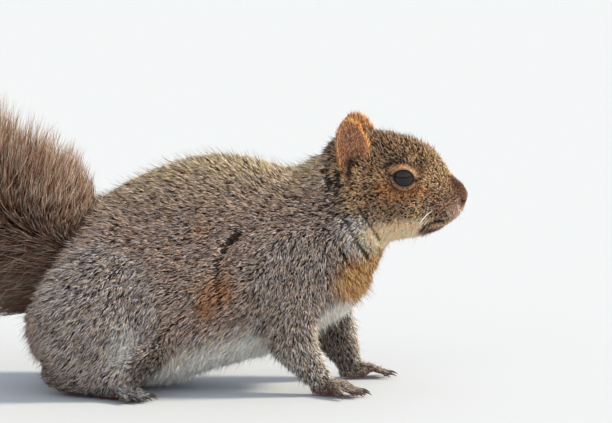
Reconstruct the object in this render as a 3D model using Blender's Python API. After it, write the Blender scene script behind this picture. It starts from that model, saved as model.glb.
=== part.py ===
"""Eastern grey squirrel, a still life-size model on four feet, its tail raised behind it.

The body faces +X with its right side towards -Y and stands on z = 0. Lengths below are in
millimetres and are turned to metres where a mesh is made. The body is modelled whole, out to
the tips of the coat, then parted into its named pieces by thin cuts.
"""

import math

import bmesh
import bpy
import numpy as np
from mathutils import Matrix, Vector

MM = 0.001
GAP = 0.3  # clear space between neighbouring pieces
FAR = 600.0  # edge of the blocks that stand for half spaces

# Driving sizes of the animal
EYE_RADIUS = 5.6
EYE_PLACE = (78.2, 13.9, 107.3)  # of the left eye, before the head is turned
HEAD_TURN = math.radians(-8.0)  # the face looks a little to the animal's right
HEAD_PIVOT = 48.0
TURN_STARTS = 28.0
TURN_ENDS = 62.0
EAR_HEIGHT = 31.0
EAR_WIDTH = 19.0
EAR_THICK = 2.5
TOE_RADIUS = 2.0
CLAW_LENGTH = 4.5
CLAW_RADIUS = 0.95
CLAW_TIP = 0.35

# Sections of the body from rump to nose. Each spans from a point on the upper outline to one
# on the lower outline, both as (x, z). Then come the half width, and how much wider the lower
# half is than the upper half.
BODY_SECTIONS = (
    ((-113, 41), (-112.5, 28), 8, 0.0),  # rump
    ((-108, 55), (-107, 16), 25, 0.1),
    ((-98, 72), (-92, 9), 34, 0.15),  # root of the tail
    ((-86, 86), (-76, 6), 39, 0.15),
    ((-68, 99.5), (-60, 2.5), 41, 0.15),  # hips
    ((-47, 110.5), (-45, 1.8), 41, 0.15),
    ((-30, 116), (-30, 6), 39, 0.15),
    ((-14, 118), (-14, 11), 37, 0.12),  # top of the back
    ((1, 116), (3, 15.5), 35.5, 0.1),
    ((14, 112), (20, 22), 33.5, 0.08),  # shoulders
    ((24, 112), (37, 31), 31.5, 0.08),
    ((33, 117), (52, 41), 28.5, 0.05),  # chest
    ((41, 124), (62, 56), 25.5, 0.0),  # neck
    ((49, 128.5), (66, 68), 23.5, 0.0),
    ((58, 129.5), (69, 74), 21.5, 0.05),
    ((67, 129), (73, 75.5), 20.5, 0.12),  # cheeks
    ((76, 127.5), (79, 76.5), 18.2, 0.15),
    ((84.5, 125), (85, 77.5), 15.6, 0.15),  # brow
    ((91.5, 121), (89.5, 78.5), 12.8, 0.2),
    ((96.5, 115), (94, 80.5), 10.8, 0.3),
    ((100, 109.5), (98.5, 83.5), 9.4, 0.35),  # muzzle
    ((104, 105.5), (103, 87), 7.6, 0.3),
    ((107.5, 103), (106.6, 91), 5.6, 0.2),
    ((109.6, 100), (109.2, 95), 3.0, 0.0),  # nose
)

# Sections of the tail brush, out to the tips of its hairs, from root to tip.
TAIL_SECTIONS = (
    ((-76, 95), (-84, 66), 12, 0.0),
    ((-79, 111), (-103, 46), 20, 0.0),
    ((-89, 125), (-122, 36), 27, 0.0),
    ((-106, 137), (-148, 40), 31, 0.0),
    ((-127, 149), (-174, 58), 33, 0.0),
    ((-148, 166), (-196, 85), 33, 0.0),
    ((-167, 188), (-216, 117), 31, 0.0),
    ((-188, 208), (-235, 150), 27, 0.0),
    ((-214, 221), (-249, 183), 19, 0.0),
    ((-240, 222), (-254, 208), 7, 0.0),
)
TAIL_CUTS = (3, 5, 7)  # sections at which one length of the tail ends and the next begins
HEAD_CUT = ((37, 124), (62, 62))  # a thin cut from behind the ears to the throat
NECK_CUT = ((22, 112), (54, 41))  # and one from the withers to the chest

# Limbs of the right side as (x, distance from the middle plane, z, radius) from body to foot.
NEAR_FORELEG = ((22, 17, 64, 19), (19, 22, 44, 17.5), (21, 24, 29, 13.5), (28, 25, 17, 9.4), (35, 26, 8, 6.6))
FAR_FORELEG = ((30, 17, 64, 19), (35, 22, 44, 17.5), (40, 24, 29, 13.5), (46, 25, 17, 9.8), (50, 26, 8, 6.8))
THIGH = ((-62, 22, 74, 20), (-70, 28, 56, 27), (-76, 29, 42, 31), (-78, 29, 32, 29))
SHANK = ((-48, 36, 22, 8.5), (-62, 37, 17, 12), (-80, 33, 14, 12.5), (-94, 27, 12, 9.5))
LIMB_FLATNESS = 0.78  # thickness across the body over thickness along it

# Feet. Each toe is (spread outwards in degrees, length), from the inner to the outer one.
FORE_FOOT = {
    "heading": math.radians(20),
    "pad_length": 7.5,
    "half_width": 5.6,
    "top": 12.5,
    "toes": ((-18, 10.0), (-2, 12.5), (14, 11.5), (40, 9.0)),
    "triangles": 430,
}
HIND_FOOT = {
    "heading": math.radians(35),
    "pad_length": 31.0,
    "half_width": 6.8,
    "top": 10.5,
    "toes": ((-15, 12.0), (-6, 15.0), (2, 16.0), (10, 15.0), (24, 11.5)),
    "triangles": 520,
}
FORE_HEELS = {-1: (34.0, 25.5), 1: (48.5, 25.5)}  # (x, distance from the middle plane) by side
HIND_HEELS = {-1: (-91.0, 20.0), 1: (-91.0, 20.0)}
PAD_PROFILE = ((0.0, 0.75, 1.0), (0.5, 0.85, 0.8), (1.0, 1.0, 0.62))  # place, width, height
TOE_ROW = 0.72  # spacing of the outer toes over the pad's width
TOE_TAPER = (1.15, 1.05, 1.0, 0.95)
FOOT_VOXEL = 0.55

TAIL_ROOM = 1.12  # how much larger than the brush is the space that parts it from the rump
ARM_ROOM = 4.0
SHANK_ROOM = 4.0
THIGH_PLACE = (-74.0, 44.0, 44.0)
THIGH_RADII = (33.0, 24.0, 38.0)
NOSE_PLACE = (110.5, 0.0, 98.0)
NOSE_RADII = (5.0, 4.4, 4.2)

FINE_TRIANGLES = 9000  # the whole body, as the head is cut from it
COARSE_TRIANGLES = 5000  # and as the other pieces are
PIECE_TRIANGLES = {
    "trunk": 1100,
    "neck": 220,
    "head": 1350,
    "tail": 260,
    "upper": 240,
    "thigh": 250,
    "shank": 340,
    "ear": 210,
    "nose": 90,
}

BROWN = (0.24, 0.19, 0.14)
GREY = (0.32, 0.29, 0.26)
RUFOUS = (0.45, 0.24, 0.12)
TAN = (0.30, 0.22, 0.15)


def material(name, colour, roughness):
    made = bpy.data.materials.new(name)
    made.use_nodes = True
    shader = made.node_tree.nodes["Principled BSDF"]
    shader.inputs["Base Color"].default_value = (*colour, 1.0)
    shader.inputs["Roughness"].default_value = roughness
    shader.inputs["Metallic"].default_value = 0.0
    made.diffuse_color = (*colour, 1.0)
    return made


def clear_scene():
    for old in list(bpy.data.objects):
        bpy.data.objects.remove(old, do_unlink=True)


def new_object(name, points, faces):
    """An object from points in millimetres, with its faces turned outwards."""
    mesh = bpy.data.meshes.new(name)
    mesh.from_pydata([tuple(np.asarray(point) * MM) for point in points], [], faces)
    work = bmesh.new()
    work.from_mesh(mesh)
    bmesh.ops.recalc_face_normals(work, faces=work.faces)
    work.to_mesh(mesh)
    work.free()
    made = bpy.data.objects.new(name, mesh)
    bpy.context.scene.collection.objects.link(made)
    return made


def settle(made):
    """Replaces an object's mesh by what its modifiers make of it."""
    graph = bpy.context.evaluated_depsgraph_get()
    mesh = bpy.data.meshes.new_from_object(made.evaluated_get(graph))
    made.modifiers.clear()
    made.data = mesh
    return made


def copied(source, name):
    made = source.copy()
    made.data = source.data.copy()
    made.name = name
    bpy.context.scene.collection.objects.link(made)
    return made


def discard(*objects):
    for made in objects:
        bpy.data.objects.remove(made, do_unlink=True)


def boolean(made, other, operation):
    cut = made.modifiers.new("cut", "BOOLEAN")
    cut.operation = operation
    cut.solver = "MANIFOLD"  # EXACT tears the long thin faces beside the shanks
    cut.object = other
    return settle(made)


def keep_largest(made):
    """Drops the crumbs that a cut can leave beside the piece."""
    work = bmesh.new()
    work.from_mesh(made.data)
    bmesh.ops.remove_doubles(work, verts=work.verts, dist=0.01 * MM)
    work.verts.ensure_lookup_table()
    seen = set()
    islands = []
    for start in work.verts:
        if start in seen:
            continue
        seen.add(start)
        island = [start]
        for vert in island:
            for edge in vert.link_edges:
                other = edge.other_vert(vert)
                if other not in seen:
                    seen.add(other)
                    island.append(other)
        islands.append(island)
    largest = max(islands, key=len)
    for island in islands:
        if island is not largest:
            bmesh.ops.delete(work, geom=island, context="VERTS")
    work.to_mesh(made.data)
    work.free()
    return made


def curve_through(knots, steps):
    """Rows of a smooth curve through the rows of knots, with a number of steps per span."""
    knots = np.asarray(knots, float)
    padded = np.vstack([2 * knots[0] - knots[1], knots, 2 * knots[-1] - knots[-2]])
    rows = []
    for span in range(len(knots) - 1):
        before, start, end, after = padded[span : span + 4]
        for t in np.arange(steps) / steps:
            rows.append(
                0.5
                * (
                    2 * start
                    + (end - before) * t
                    + (2 * before - 5 * start + 4 * end - after) * t**2
                    + (3 * start - before - 3 * end + after) * t**3
                )
            )
    rows.append(knots[-1])
    return np.array(rows)


def tube_faces(rings, sides):
    faces = []
    for ring in range(rings - 1):
        for side in range(sides):
            a = ring * sides + side
            b = ring * sides + (side + 1) % sides
            faces.append((a, b, b + sides, a + sides))
    faces.append(tuple(range(sides)))
    faces.append(tuple(range((rings - 1) * sides, rings * sides)))
    return faces


def turned(point):
    """Turns a point of the head about the neck, and eases the turn in along the neck."""
    x, y, z = point
    share = min(max((x - TURN_STARTS) / (TURN_ENDS - TURN_STARTS), 0.0), 1.0)
    angle = HEAD_TURN * share * share * (3 - 2 * share)
    along = x - HEAD_PIVOT
    return (
        HEAD_PIVOT + along * math.cos(angle) - y * math.sin(angle),
        along * math.sin(angle) + y * math.cos(angle),
        z,
    )


def ribbed_body(name, sections, steps=4, sides=40):
    """A closed body through sections that lean in the side view."""
    knots = [(*upper, *lower, half, swell) for upper, lower, half, swell in sections]
    points = []
    rows = curve_through(knots, steps)
    for upper_x, upper_z, lower_x, lower_z, half, swell in rows:
        for side in range(sides):
            angle = 2 * math.pi * side / sides
            down = (1 - math.cos(angle)) / 2
            across = math.sin(angle)
            width = half * math.copysign(abs(across) ** 0.92, across)
            width *= 1 + swell * (2 * down - 1)
            x = upper_x + (lower_x - upper_x) * down
            z = upper_z + (lower_z - upper_z) * down
            points.append(turned((x, width, z)))
    return new_object(name, points, tube_faces(len(rows), sides))


def cap_rows(end, inner):
    """Ever smaller rows that round off the end of a tube, outermost first."""
    ahead = end[:3] - inner[:3]
    ahead /= np.linalg.norm(ahead)
    rows = []
    for degrees in (75, 50, 25):
        turn = math.radians(degrees)
        rows.append([*(end[:3] + ahead * end[3] * math.sin(turn)), end[3] * math.cos(turn)])
    return rows


def limb(name, knots, side, flatness=LIMB_FLATNESS, steps=5, sides=24, grow=0.0, round_ends=True):
    """A tube along knots of (x, distance from the middle plane, z, radius)."""
    rows = curve_through(knots, steps)
    rows[:, 3] += grow
    if round_ends:
        rows = np.vstack([cap_rows(rows[0], rows[1]), rows, cap_rows(rows[-1], rows[-2])[::-1]])
    points = []
    for index, (x, y, z, radius) in enumerate(rows):
        ahead = rows[min(index + 1, len(rows) - 1), :3] - rows[max(index - 1, 0), :3]
        ahead /= np.linalg.norm(ahead)
        across = np.array([0.0, 1.0, 0.0]) - ahead * ahead[1]
        across /= np.linalg.norm(across)
        up = np.cross(ahead, across)
        for part in range(sides):
            angle = 2 * math.pi * part / sides
            offset = across * math.cos(angle) * radius * flatness + up * math.sin(angle) * radius
            spot = np.array([x, y, z]) + offset
            points.append((spot[0], side * spot[1], spot[2]))
    return new_object(name, points, tube_faces(len(rows), sides))


def blended(name, pieces, voxel, smoothing):
    """Joins overlapping bodies into one skin with soft creases between them."""
    work = bmesh.new()
    for piece in pieces:
        work.from_mesh(piece.data)
    mesh = bpy.data.meshes.new(name)
    work.to_mesh(mesh)
    work.free()
    discard(*pieces)
    made = bpy.data.objects.new(name, mesh)
    bpy.context.scene.collection.objects.link(made)
    remesh = made.modifiers.new("one skin", "REMESH")
    remesh.mode = "VOXEL"
    remesh.voxel_size = voxel * MM
    smooth = made.modifiers.new("soft creases", "SMOOTH")
    smooth.factor = 0.5
    smooth.iterations = smoothing
    return settle(made)


def is_closed(mesh):
    work = bmesh.new()
    work.from_mesh(mesh)
    bmesh.ops.remove_doubles(work, verts=work.verts, dist=0.002 * MM)
    sound = all(edge.is_manifold for edge in work.edges)
    work.free()
    return sound


def split_evenly(work):
    bmesh.ops.triangulate(work, faces=work.faces)


def split_by_ears(work):
    bmesh.ops.triangulate(work, faces=work.faces, quad_method="FIXED", ngon_method="EAR_CLIP")


def split_at_hollows(work):
    bmesh.ops.connect_verts_concave(work, faces=work.faces)
    bmesh.ops.triangulate(work, faces=work.faces)


def triangulated(mesh):
    """Splits faces into triangles, in the first way that lays no two edges on each other."""
    for split in (split_evenly, split_by_ears, split_at_hollows):
        work = bmesh.new()
        work.from_mesh(mesh)
        split(work)
        made = bpy.data.meshes.new(mesh.name)
        work.to_mesh(made)
        work.free()
        if is_closed(made):
            break
    return made


def thinned(made, triangles):
    """Brings a mesh down to about this many triangles, or to more where that would tear it."""
    full = triangulated(made.data)
    made.data = full
    full.calc_loop_triangles()
    count = len(full.loop_triangles)
    target = triangles
    while target < count:
        fewer = made.modifiers.new("fewer faces", "DECIMATE")
        fewer.ratio = target / count
        settle(made)
        if is_closed(made.data):
            break
        made.data = full
        target *= 1.15
    return made


def grown(source, name, by=GAP):
    """A copy whose surface stands out by a small distance, used to cut a seat."""
    made = copied(source, name)
    thicker = made.modifiers.new("clearance", "DISPLACE")
    thicker.strength = by * MM
    thicker.mid_level = 0.0
    return settle(made)


def half_space(name, point, normal, back=0.0):
    """A block whose one face passes through a point and faces against the normal."""
    normal = Vector(normal).normalized()
    block = bmesh.new()
    bmesh.ops.create_cube(block, size=FAR * MM)
    turn = normal.to_track_quat("Z", "Y").to_matrix().to_4x4()
    centre = (Vector(point) + normal * (FAR / 2 + back)) * MM
    bmesh.ops.transform(block, matrix=Matrix.Translation(centre) @ turn, verts=block.verts)
    mesh = bpy.data.meshes.new(name)
    block.to_mesh(mesh)
    block.free()
    made = bpy.data.objects.new(name, mesh)
    bpy.context.scene.collection.objects.link(made)
    return made


def beyond(made, point, normal):
    """Keeps what lies beyond a plane, half a gap away from it."""
    block = half_space("block", point, normal, back=GAP / 2)
    boolean(made, block, "INTERSECT")
    discard(block)
    return made


def ball(name, centre, radii, segments=20):
    work = bmesh.new()
    bmesh.ops.create_uvsphere(work, u_segments=segments, v_segments=segments // 2, radius=MM)
    scale = Matrix.Diagonal((*radii, 1.0))
    move = Matrix.Translation(Vector(centre) * MM)
    bmesh.ops.transform(work, matrix=move @ scale, verts=work.verts)
    mesh = bpy.data.meshes.new(name)
    work.to_mesh(mesh)
    work.free()
    made = bpy.data.objects.new(name, mesh)
    bpy.context.scene.collection.objects.link(made)
    return made


def foot_frame(heel, heading):
    """Turns (along the foot, outwards, up) into a point of the left side for one foot."""

    def place(along, out, up):
        x = heel[0] + along * math.cos(heading) - out * math.sin(heading)
        y = heel[1] + along * math.sin(heading) + out * math.cos(heading)
        return np.array([x, y, up])

    return place


def toe_path(root, spread, length):
    """Knots of a toe in the foot's frame: it arches up, then comes down to its pad."""
    angle = math.radians(spread)
    ahead = np.array([math.cos(angle), math.sin(angle)])
    heights = ((0.0, 5.6), (0.35, 6.2), (0.7, 4.3), (1.0, 1.8))
    return [(*(root + ahead * length * share), height) for share, height in heights]


def foot_pieces(shape, heel, side):
    """A paw's pad, from heel to knuckles, and its toes, with where each toe ends and points."""
    place = foot_frame(heel, shape["heading"])
    half = shape["half_width"]
    knots = []
    for share, width, height in PAD_PROFILE:
        spot = place(shape["pad_length"] * share, 0.0, 0.0)
        knots.append((spot[0], side * spot[1], half * width, shape["top"] * height))
    pieces = []
    for x, y, width, height in curve_through(knots, 4):
        pieces.append(ball("pad", (x, y, height * 0.45), (width, width, height * 0.55), 16))
    tips = []
    row = 2 * half * TOE_ROW
    for number, (spread, length) in enumerate(shape["toes"]):
        out = row * (number / (len(shape["toes"]) - 1) - 0.5)
        path = toe_path(np.array([shape["pad_length"], out]), spread, length)
        spots = [place(*spot) for spot in path]
        knots = [(*spot, TOE_RADIUS * scale) for spot, scale in zip(spots, TOE_TAPER)]
        pieces.append(limb("toe", knots, side, flatness=1.0, steps=3, sides=10))
        mirror = np.array([1, side, 1])
        tips.append((spots[-1] * mirror, (spots[-1] - spots[-2]) * mirror))
    return pieces, tips


def make_foot(name, shape, heel, side):
    """A paw with its sole cut flat on the ground."""
    pieces, tips = foot_pieces(shape, heel, side)
    made = thinned(blended(name, pieces, FOOT_VOXEL, 4), shape["triangles"])
    ground = half_space("ground", (0, 0, 0), (0, 0, -1))
    boolean(made, ground, "DIFFERENCE")
    discard(ground)
    return keep_largest(made), tips


def claw(name, tip, heading, paint):
    """A curved claw that starts just ahead of a toe and bends down to near the ground."""
    ahead = np.array([heading[0], heading[1], 0.0])
    ahead /= np.linalg.norm(ahead)
    start = tip + ahead * (TOE_RADIUS + GAP * 2) + np.array([0, 0, 0.5])
    rows = []
    for share in np.linspace(0, 1, 5):
        rise = 0.9 * math.sin(math.pi * share) - 1.0 * share**2
        radius = CLAW_RADIUS + (CLAW_TIP - CLAW_RADIUS) * share
        spot = start + ahead * CLAW_LENGTH * share + np.array([0, 0, rise])
        rows.append((spot[0], spot[1], max(spot[2], radius + 0.4), radius))
    made = limb(name, rows, 1, flatness=0.8, steps=1, sides=4, round_ends=False)
    made.data.materials.append(paint)
    return made


def ear(name, side, paint):
    """A thin cup on the side of the head: rounded tip, hollow turned outwards and ahead."""
    rows, columns = 11, 11
    root = np.array([54.0, 13.8, 107.0])
    up = np.array([-0.13, 0.33, 0.93])
    up /= np.linalg.norm(up)
    ahead = np.array([0.90, -0.30, 0.08])
    ahead -= up * ahead.dot(up)
    ahead /= np.linalg.norm(ahead)
    out = np.cross(ahead, up) * -1.0
    layers = []
    for layer in (0, 1):
        for row in range(rows):
            t = row / (rows - 1)
            height = EAR_HEIGHT * t
            half = 0.5 * EAR_WIDTH * math.sqrt(max(1 - max((t - 0.35) / 0.65, 0) ** 3.6, 0.12))
            half *= 0.55 + 0.45 * min(t / 0.35, 1.0)
            for column in range(columns):
                s = 2 * column / (columns - 1) - 1
                curl = 0.30 * EAR_WIDTH * (s * s) * (1 - 0.55 * t)
                thick = EAR_THICK * (1 - 0.3 * t) * (1 - 0.35 * s * s)
                depth = curl + (layer - 0.5) * thick * -1.0
                spot = root + up * height + ahead * half * s + out * (depth - 2.0 * t * t)
                layers.append(turned((spot[0], side * spot[1], spot[2])))
    faces = []
    count = rows * columns

    def at(layer, row, column):
        return layer * count + row * columns + column

    for row in range(rows - 1):
        for column in range(columns - 1):
            for layer in (0, 1):
                faces.append(
                    (
                        at(layer, row, column),
                        at(layer, row, column + 1),
                        at(layer, row + 1, column + 1),
                        at(layer, row + 1, column),
                    )
                )
    border = [(0, column) for column in range(columns)]
    border += [(row, columns - 1) for row in range(1, rows)]
    border += [(rows - 1, column) for column in range(columns - 2, -1, -1)]
    border += [(row, 0) for row in range(rows - 2, 0, -1)]
    for here, there in zip(border, border[1:] + border[:1]):
        faces.append((at(0, *here), at(0, *there), at(1, *there), at(1, *here)))
    made = new_object(name, layers, faces)
    made.data.materials.append(paint)
    return made


def whole_body():
    pieces = [ribbed_body("torso", BODY_SECTIONS), ribbed_body("brush", TAIL_SECTIONS)]
    for side, foreleg in ((-1, NEAR_FORELEG), (1, FAR_FORELEG)):
        pieces.append(limb("foreleg", foreleg, side))
        pieces.append(limb("thigh", THIGH, side, flatness=0.62))
        pieces.append(limb("shank", SHANK, side))
    return blended("whole", pieces, 1.2, 10)


def leaning_plane(upper, lower, side):
    """A point and a normal of the plane that holds a line of the side view."""
    along = Vector((upper[0] - lower[0], 0, upper[1] - lower[1]))
    middle = Vector(((upper[0] + lower[0]) / 2, 0, (upper[1] + lower[1]) / 2))
    return middle, Vector((0, side, 0)).cross(along)


def parted(rest, name, region, room=GAP * 2):
    """Takes the piece inside a region out of the rest of the body, which keeps clear of it."""
    piece = copied(rest, name)
    clearance = grown(region, "clearance", room)
    boolean(piece, region, "INTERSECT")
    boolean(rest, clearance, "DIFFERENCE")
    discard(region, clearance)
    return keep_largest(piece)


def cut_in_two(made, near_name, far_name, point, normal):
    far = copied(made, far_name)
    made.name = near_name
    beyond(far, point, normal)
    beyond(made, point, -normal)
    return keep_largest(made), keep_largest(far)




def make_feet(paints):
    """Both pairs of feet with their claws. Returns the feet only."""
    feet = []
    for side, side_name in ((-1, "right"), (1, "left")):
        for kind, shape, heels in (("fore", FORE_FOOT, FORE_HEELS), ("hind", HIND_FOOT, HIND_HEELS)):
            made, tips = make_foot(f"{kind}foot_{side_name}", shape, heels[side], side)
            made.data.materials.append(paints["grey"])
            feet.append(made)
            for number, (tip, heading) in enumerate(tips, 1):
                claw(f"claw_{kind}_{side_name}_{number}", tip, heading, paints["claw"])
    return feet


def make_tail(rest, paint):
    """Takes the tail out of the body and divides it into lengths."""
    wider = []
    for upper, lower, half, swell in TAIL_SECTIONS:
        middle = (np.array(upper) + np.array(lower)) / 2
        reach = (np.array(upper) - np.array(lower)) / 2 * TAIL_ROOM
        wider.append((tuple(middle + reach), tuple(middle - reach), half * TAIL_ROOM, swell))
    region = ribbed_body("region", wider, steps=1, sides=20)
    tail = parted(rest, "tail_1", region)
    lengths = []
    for number, section in enumerate(TAIL_CUTS, 1):
        upper, lower = TAIL_SECTIONS[section][:2]
        point, normal = leaning_plane(upper, lower, -1)
        near, tail = cut_in_two(tail, f"tail_{number}", f"tail_{number + 1}", point, normal)
        lengths.append(near)
    lengths.append(tail)
    return lengths


def make_forelegs(rest):
    legs = []
    for side, side_name, knots in ((-1, "right", NEAR_FORELEG), (1, "left", FAR_FORELEG)):
        outer = [(x, y + ARM_ROOM, z, radius) for x, y, z, radius in knots]
        region = limb("region", outer, side, 1.15, steps=2, sides=14, grow=2.0)
        arm = parted(rest, "arm", region)
        elbow = np.array(knots[2][:3])
        wrist = np.array(knots[3][:3])
        normal = Vector(wrist - elbow)
        point = Vector((elbow + wrist) / 2 - (wrist - elbow) * 0.35)
        normal.y = 0
        legs += cut_in_two(arm, f"upper_arm_{side_name}", f"forearm_{side_name}", point, normal)
    return legs


def make_hind_legs(rest):
    legs = []
    for side, side_name in ((-1, "right"), (1, "left")):
        x, y, z = THIGH_PLACE
        region = ball("region", (x, side * y, z), THIGH_RADII)
        legs.append(parted(rest, f"thigh_{side_name}", region))
        lower = [(x, y + SHANK_ROOM, z, radius) for x, y, z, radius in SHANK]
        region = limb("region", lower, side, 1.2, steps=2, sides=14, grow=3.0)
        legs.append(parted(rest, f"shank_{side_name}", region))
    return legs


def make_head(fine, paints):
    """The head with its ears, eyes and nose, each seated clear of the head."""
    point, normal = leaning_plane(*HEAD_CUT, 1)
    head = beyond(fine, point, normal)
    head.name = "head"
    for side, side_name in ((-1, "right"), (1, "left")):
        spot = turned((EYE_PLACE[0], side * EYE_PLACE[1], EYE_PLACE[2]))
        socket = ball("socket", spot, [EYE_RADIUS + GAP] * 3)
        boolean(head, socket, "DIFFERENCE")
        discard(socket)
        eye = ball(f"eye_{side_name}", spot, [EYE_RADIUS] * 3, 18)
        eye.data.materials.append(paints["eye"])
    spot = turned(NOSE_PLACE)
    region = ball("region", spot, NOSE_RADII)
    nose = parted(head, "nose", region)
    nose.data.materials.append(paints["nose"])
    for side, side_name in ((-1, "right"), (1, "left")):
        made = ear(f"ear_{side_name}", side, paints["rufous"])
        seat = grown(head, "seat")
        boolean(made, seat, "DIFFERENCE")
        discard(seat)
        keep_largest(made)
    keep_largest(head)
    head.data.materials.append(paints["brown"])


def centre_origins(objects):
    """Stands the animal over the world's origin, and gives each piece its own centre."""
    corners = np.array([vert.co for made in objects for vert in made.data.vertices])
    middle = (corners.min(axis=0) + corners.max(axis=0)) / 2
    for made in objects:
        own = np.array([vert.co for vert in made.data.vertices])
        centre = Vector((own.min(axis=0) + own.max(axis=0)) / 2)
        made.data.transform(Matrix.Translation(-centre))
        made.location = centre - Vector((middle[0], middle[1], 0))


def build():
    clear_scene()
    paints = {
        "brown": material("coat_brown", BROWN, 0.9),
        "grey": material("coat_grey", GREY, 0.9),
        "rufous": material("ear_rufous", RUFOUS, 0.85),
        "tan": material("tail_tan", TAN, 0.9),
        "eye": material("eye_black", (0.012, 0.010, 0.010), 0.05),
        "nose": material("nose_skin", (0.07, 0.045, 0.04), 0.45),
        "claw": material("claw_horn", (0.05, 0.035, 0.03), 0.35),
    }
    whole = whole_body()
    fine = thinned(copied(whole, "fine"), FINE_TRIANGLES)
    rest = thinned(copied(whole, "trunk"), COARSE_TRIANGLES)
    discard(whole)
    feet = make_feet(paints)
    for made in feet:
        seat = grown(made, "seat", GAP * 2)
        boolean(rest, seat, "DIFFERENCE")
        discard(seat)
    for made in make_tail(rest, paints["tan"]):
        made.data.materials.append(paints["tan"])
    point, normal = leaning_plane(*HEAD_CUT, 1)
    beyond(rest, point, -normal)
    point, normal = leaning_plane(*NECK_CUT, 1)
    rest, neck = cut_in_two(rest, "trunk", "neck", point, normal)
    neck.data.materials.append(paints["brown"])
    for made in make_forelegs(rest) + make_hind_legs(rest):
        made.data.materials.append(paints["grey"])
    keep_largest(rest)
    rest.data.materials.append(paints["brown"])
    make_head(fine, paints)
    pieces = [made for made in bpy.data.objects if made.type == "MESH"]
    for made in pieces:
        kind = made.name.split("_")[0]
        if kind in PIECE_TRIANGLES:
            thinned(made, PIECE_TRIANGLES[kind])
        made.data.shade_smooth()
    centre_origins(pieces)


build()
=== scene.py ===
"""The looks of a still, life-size grey squirrel: skin, eyes, claws, whiskers and a coat of tufts.

The squirrel faces +X with its right side towards -Y. Inside the functions lengths are in
millimetres, and they become metres where a mesh or an object is made.
"""

import math

import bmesh
import bpy
import numpy as np
from mathutils import Matrix, Vector
from mathutils.bvhtree import BVHTree


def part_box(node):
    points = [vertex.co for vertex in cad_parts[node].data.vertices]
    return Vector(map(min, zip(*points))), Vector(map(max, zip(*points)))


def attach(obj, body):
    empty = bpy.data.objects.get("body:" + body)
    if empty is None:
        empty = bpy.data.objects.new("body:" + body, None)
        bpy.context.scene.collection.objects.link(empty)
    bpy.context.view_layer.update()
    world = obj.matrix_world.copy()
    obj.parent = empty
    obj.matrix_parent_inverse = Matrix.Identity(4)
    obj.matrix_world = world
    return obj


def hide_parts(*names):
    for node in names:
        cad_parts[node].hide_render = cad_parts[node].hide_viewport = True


MM = 0.001
SEED = 20251

# Skin
CLOSING = 0.45  # how far the solids are grown, so that the cuts between them close
SKIN_VOXEL = 1.25
EDGE_ROUNDS = 3
FACE_FINE = 158  # the skin is cut finer forward of this x, and round the eyes


# How often values that differ from region to region are averaged with their neighbours
REGION_ROUNDS = 14
COLOUR_ROUNDS = 12
LIE_ROUNDS = 25

# The core of the tail inside its brush, as (x, z, radius), from inside the rump to the tip
TAIL_CORE = (
    (8, 66, 12), (-6, 70, 11), (-20, 74, 9.5), (-34, 78, 8), (-48, 86, 7), (-64, 96, 6.2),
    (-80, 108, 5.6), (-98, 126, 5), (-117, 150, 4.4), (-137, 176, 3.8), (-157, 198, 3),
    (-170, 210, 2),
)
TAIL_LINE = np.array([(x, 0, z) for x, z, _ in TAIL_CORE])
CORE_SIDES = 16

# Face
HEAD_TURN_X = 120.25  # forward of here the middle plane turns with the head
EYE_RADIUS = 5.6
SIDES = {"right": -1, "left": 1}
EYE_CENTRES = {
    "right": np.array((148.2, -18, 107.3)),
    "left": np.array((152.1, 9.5, 107.3)),
}
HEAD_HEADING = math.radians(-8)  # the face looks a little to the animal's right
LID_HALF_LENGTH = 5.05
LID_HALF_HEIGHT = 3.95
LID_ROUNDNESS = 1.85  # 2 would make the lids' opening an ellipse
LID_THICKNESS = 0.6
# The next three are shares of the way from the middle of the opening to its edge
LID_SNAP = 0.05  # points this near to the edge are put on it
LID_CREST = 1.13
LID_MARGIN = (1.06, 1.14)  # where the bare margin of the lids ends
NOSE_TIP = np.array((181.3, -8.5, 98))
# The next two are (x, distance from the middle plane, z), with radii
NOSTRIL, NOSTRIL_SIZE = (177.2, 3.9, 95.4), (1.2, 1.3, 0.8)
WHISKER_PAD, WHISKER_PAD_SIZE = (171, 6, 91), (7, 4.5, 4.5)
MOUTH_CARVED_FROM, MOUTH_DARK_FROM, PHILTRUM_FROM = 154, 155, 174  # each an x
MOUTH = ((168.2, 86.2), (165, 85.6), (162.2, 85), (159.4, 83.6), (157.4, 81.2))
PHILTRUM = ((182.5, 99.5), (181.5, 95.5), (179, 92), (176.5, 89.2))

# Lines where the coat parts on the right side, as (x, z), and how wide each one is
PARTINGS = (
    (((70, 82), (64, 77), (60, 71), (58, 63), (59, 55), (60, 48)), 1.7),
    (((112, 112), (113.6, 106), (113.4, 101)), 2.2),
    (((117, 109), (117.6, 104), (117, 100)), 1.8),
    (((113.4, 101), (114, 95), (115.5, 90)), 1.3),
    (((118, 91), (123, 84), (127, 76), (131, 68)), 1.3),
    (((127, 93), (132, 85), (137, 77)), 1.2),
    (((111, 84), (116, 76), (120, 68)), 1.1),
)

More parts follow.
